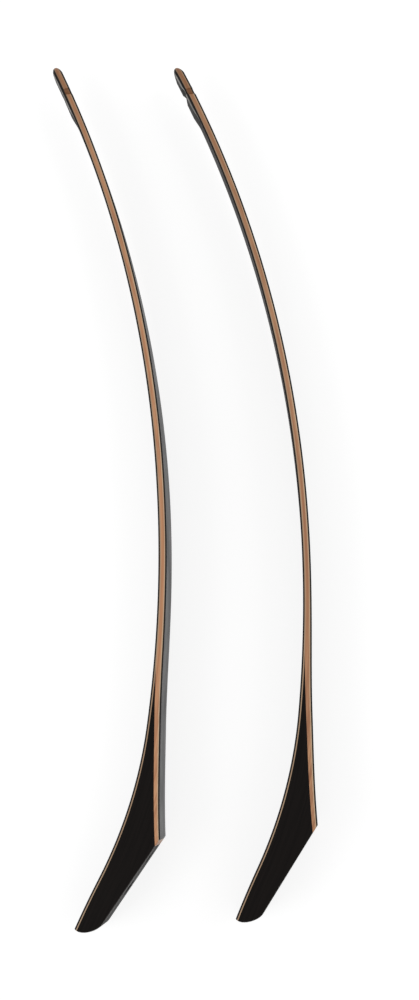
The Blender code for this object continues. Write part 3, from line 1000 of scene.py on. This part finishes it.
for limb in limbs:
    back, belly = wedge_lines(limb)
    reach = np.minimum(GROUND_EASE, GROUND_SHARE * np.hypot(belly[0] - back[0], belly[1] - back[1]))
    rings, edge = layer_rings(limb, back, belly, wedge_section(), reach)
    made[limb["name"], "butt_wedge"] = skin(f"{limb['name']}_limb_butt_wedge", rings, edge), "black_wedge"
print("wedges:", [obj.name for (_, layer), (obj, _) in made.items() if layer == "butt_wedge"])

# %% [markdown]
# ## Bolt and pin holes
# A limb bolts to the handle through its butt, and a pin beside the bolt keeps it from turning. Both holes
# stand square to the pad and have a small countersink. A drill is a turned shape, so its skin is a profile
# of radii along an axis, and a Boolean takes it out of the layers. The exact solver leaves stray faces
# where long thin faces meet the drill. The manifold solver asks for closed meshes and gives a closed one
# back. The result is baked into the mesh and the drill is deleted.

# %% Drill the butts
BOLT_RADIUS = 0.0050
BOLT_FROM_PAD_TOP = 0.0400
PIN_RADIUS = 0.0040
PIN_FROM_PAD_TOP = 0.0160
PIN_DEPTH = 0.0120
COUNTERSINK = 0.0007
DRILL_MARGIN = 0.010
DRILL_SIDES = 64


def drill(limb, name, from_top, bottom, radius):
    """A turned skin on an axis square to the pad: straight from the bottom up, then a cone that widens as
    much as it rises, from just under the pad to just over it."""
    angle = np.linspace(0.0, 2 * math.pi, DRILL_SIDES, endpoint=False)
    mouth = pad_top(limb) - from_top * along(PAD_HEADING)
    heights = np.array([bottom, -COUNTERSINK, COUNTERSINK])
    radii = np.array([radius, radius, radius + 2 * COUNTERSINK])
    axis_points = mouth + heights[:, None] * inward(PAD_HEADING)
    point = axis_points[:, None] + (radii[:, None] * np.cos(angle))[..., None] * along(PAD_HEADING)
    rings = to_world(limb, point, radii[:, None] * np.sin(angle))
    return skin(name, rings, np.zeros(rings.shape[:2]))


def take_out(obj, tool):
    """Cuts the tool out of a piece and keeps the evaluated mesh."""
    cut = obj.modifiers.new("cut", "BOOLEAN")
    cut.operation = "DIFFERENCE"
    cut.solver = "MANIFOLD"
    cut.object = tool
    evaluated = obj.evaluated_get(bpy.context.evaluated_depsgraph_get())
    mesh = bpy.data.meshes.new_from_object(evaluated)
    obj.modifiers.clear()
    obj.data = mesh


def back_of_bolt(limb):
    """Height over the pad, below zero, at which the bolt's axis leaves the back."""
    mouth = pad_top(limb) - BOLT_FROM_PAD_TOP * along(PAD_HEADING)
    return -(mouth @ inward(BUTT_HEADING)) / math.cos(PAD_ANGLE)


for limb in limbs:
    out = back_of_bolt(limb)
    bolt = drill(limb, "bolt_drill", BOLT_FROM_PAD_TOP, out - DRILL_MARGIN, BOLT_RADIUS)
    pin = drill(limb, "pin_drill", PIN_FROM_PAD_TOP, -PIN_DEPTH, PIN_RADIUS)
    for layer in ("back_glass", "back_veneer", "butt_wedge"):
        take_out(made[limb["name"], layer][0], bolt)
    take_out(made[limb["name"], "butt_wedge"][0], pin)
    for tool in (bolt, pin):
        bpy.data.objects.remove(tool, do_unlink=True)
    print(limb["name"], "bolt hole is", millimetres(-out), "mm deep")

# %% [markdown]
# ## The tip overlays
# A black overlay thickens the back of the tip, so that the string's loop has something to sit in. It rises
# from a feather edge in a smooth ramp. A low upright rim is left at its sides, and above it the edges are
# rounded off and carry a pale painted highlight, fainter round the nose. It shares the blade's stations and
# width, so its grooves and nose run on into the layers below. The string wears a shallow dip in its face.

# %% Make the overlays
OVERLAY_FEATHER = 0.00003
RIM_SHARE = 0.28
RIM_STOPS = (0.9, 0.5, 0.0)
FACE_SHARE = 0.90
ROUND_STEPS = 10
HIGHLIGHT_WIDTH = 2.0
NOSE_HIGHLIGHT = 0.4
RAMP_STATIONS = 40
STRING_DIP = {"upper": 0.0001, "lower": 0.0012}
DIP_REACH = 0.0038


def overlay_section():
    """Ring from the outer face's near edge round a quarter ellipse and down the upright rim to the glued
    face, across it, up the far side and back. The painted highlight grows like the sine of twice the turn."""
    turn = np.linspace(0.0, math.pi / 2, ROUND_STEPS)
    share = (1.0 - RIM_SHARE) * (1.0 - np.cos(turn))
    across = FACE_SHARE + (1.0 - FACE_SHARE) * np.sin(turn)
    rounding = ring_rows(share, across, 1.0, 0.0, np.minimum(HIGHLIGHT_WIDTH * np.sin(2 * turn), 1.0))
    rim = ring_rows(1.0 - RIM_SHARE * np.array(RIM_STOPS), 1.0, 1.0)
    near = np.concatenate([rounding, rim])
    far = near[::-1] * OTHER_SIDE
    return np.concatenate([near, face_run(1.0, 1.0, 1.0), far, face_run(0.0, -FACE_SHARE, 1.0)])


def overlay_lines(limb):
    """Outer line and inner line of the overlay as distances and depths."""
    length = limb["length"]
    ramp = np.linspace(length - OVERLAY_LENGTH, length - TIP_ZONE, RAMP_STATIONS, endpoint=False)
    s = np.concatenate([ramp, tip_stations(limb)])
    away = (s - length + NOCK_DISTANCE) / DIP_REACH
    worn = STRING_DIP[limb["name"]] * np.maximum(1.0 - away ** 2, 0.0)
    thickness = OVERLAY_FEATHER + (OVERLAY - OVERLAY_FEATHER) * covered(limb, s) - worn
    return (s, -thickness), (s, np.zeros(len(s)))


for limb in limbs:
    outer, inner = overlay_lines(limb)
    rings, edge = layer_rings(limb, outer, inner, overlay_section(),
                              EDGE_RADIUS * (1.0 - covered(limb, outer[0])))
    # The painted highlight is fainter round the nose.
    round_nose = smooth_step((outer[0] - limb["length"] + NOSE_LENGTH) / NOSE_LENGTH)
    edge = edge * (1.0 - (1.0 - NOSE_HIGHLIGHT) * round_nose)[:, None]
    made[limb["name"], "tip_overlay"] = skin(f"{limb['name']}_limb_tip_overlay", rings, edge), "tip_overlay"
print("overlays rise to", millimetres(OVERLAY), "mm")

# %% [markdown]
# ## Put the pieces on their bodies
# With every shape final, each piece gets its attributes, its finish in a material slot and its body, and
# the imported part that it stands for is hidden.

# %% Finish all pieces
for limb in limbs:
    for (name, layer), (obj, slot) in made.items():
        if name == limb["name"]:
            finish_piece(obj, limb, layer, slot)
faces = sum(len(obj.data.polygons) for obj, _ in made.values())
print("finished", len(made), "pieces with", faces, "faces")

# %% [markdown]
# ## Floor
# The limbs lie on a plain white surface. It is a wide flat sheet just under them. Its own colour gives the
# shadow, and a share of plain white is added for the camera and for reflections, so that the surface looks
# white without more light on the limbs.

# %% Make the floor
FLOOR_DROP = 0.0003
FLOOR_HALF = 6.0
FLOOR_SQUARE = ((-1, -1), (1, -1), (1, 1), (-1, 1))
FLOOR_COLOUR = (0.32, 0.32, 0.32, 1.0)
FLOOR_GLOW = 0.78


def floor_finish():
    """A matte grey plus a white glow that only camera, glossy and transmission rays see."""
    mat, tree, shader = new_finish("white_floor")
    tree.nodes.remove(shader)
    matte = add_node(tree, "ShaderNodeBsdfDiffuse", {"Color": FLOOR_COLOUR})
    glow = add_node(tree, "ShaderNodeEmission", {"Color": (1.0, 1.0, 1.0, 1.0)})
    rays = add_node(tree, "ShaderNodeLightPath")
    seen = rays.outputs["Is Camera Ray"]
    for name in ("Is Glossy Ray", "Is Transmission Ray"):
        seen = calculate(tree, "MAXIMUM", seen, rays.outputs[name])
    tree.links.new(calculate(tree, "MULTIPLY", seen, FLOOR_GLOW), glow.inputs["Strength"])
    both = add_node(tree, "ShaderNodeAddShader")
    tree.links.new(matte.outputs[0], both.inputs[0])
    tree.links.new(glow.outputs[0], both.inputs[1])
    tree.links.new(both.outputs[0], tree.nodes["Material Output"].inputs["Surface"])
    return mat


corners = [(FLOOR_HALF * x, FLOOR_HALF * y, -FLOOR_DROP) for x, y in FLOOR_SQUARE]
floor_mesh = bpy.data.meshes.new("floor")
floor_mesh.from_pydata(corners, [], [range(len(corners))])
floor_mesh.materials.append(floor_finish())
floor = bpy.data.objects.new("floor", floor_mesh)
bpy.context.scene.collection.objects.link(floor)
print("floor", 2 * FLOOR_HALF, "m wide")

# %% [markdown]
# ## Light
# Soft light from all round keeps the colours as they are written. The world gives a little more than half
# of it. Two large lamps stand low at the sides, where their mirror image in the upturned edges doesn't
# reach the camera, so the black wedges stay black.

# %% Light the limbs
WORLD_LEVEL = 0.55
LAMPS = {"left_window": ((-1.6, -0.7, 1.3), 16.0), "right_window": ((1.7, 0.6, 1.3), 13.0)}
LAMP_SIZE = 1.4


def light_world():
    """White to the camera, a plain grey level to everything else."""
    world = bpy.data.worlds.new("studio")
    bpy.context.scene.world = world
    world.use_nodes = True
    tree = world.node_tree
    background = tree.nodes["Background"]
    background.inputs["Color"].default_value = (1.0, 1.0, 1.0, 1.0)
    rays = add_node(tree, "ShaderNodeLightPath")
    level = remap(tree, rays.outputs["Is Camera Ray"], 0.0, 1.0, WORLD_LEVEL, 1.0)
    tree.links.new(level, background.inputs["Strength"])


def add_lamp(name, place, power):
    """A large square lamp, turned so that its -Z points at the origin between the limbs."""
    data = bpy.data.lights.new(name, "AREA")
    data.size = LAMP_SIZE
    data.energy = power
    lamp = bpy.data.objects.new(name, data)
    lamp.location = place
    lamp.rotation_euler = (-Vector(place)).to_track_quat("-Z", "Y").to_euler()
    bpy.context.scene.collection.objects.link(lamp)


light_world()
for name, (place, power) in LAMPS.items():
    add_lamp(name, place, power)
bpy.context.scene.view_settings.view_transform = "Standard"
print("lamps:", list(LAMPS))
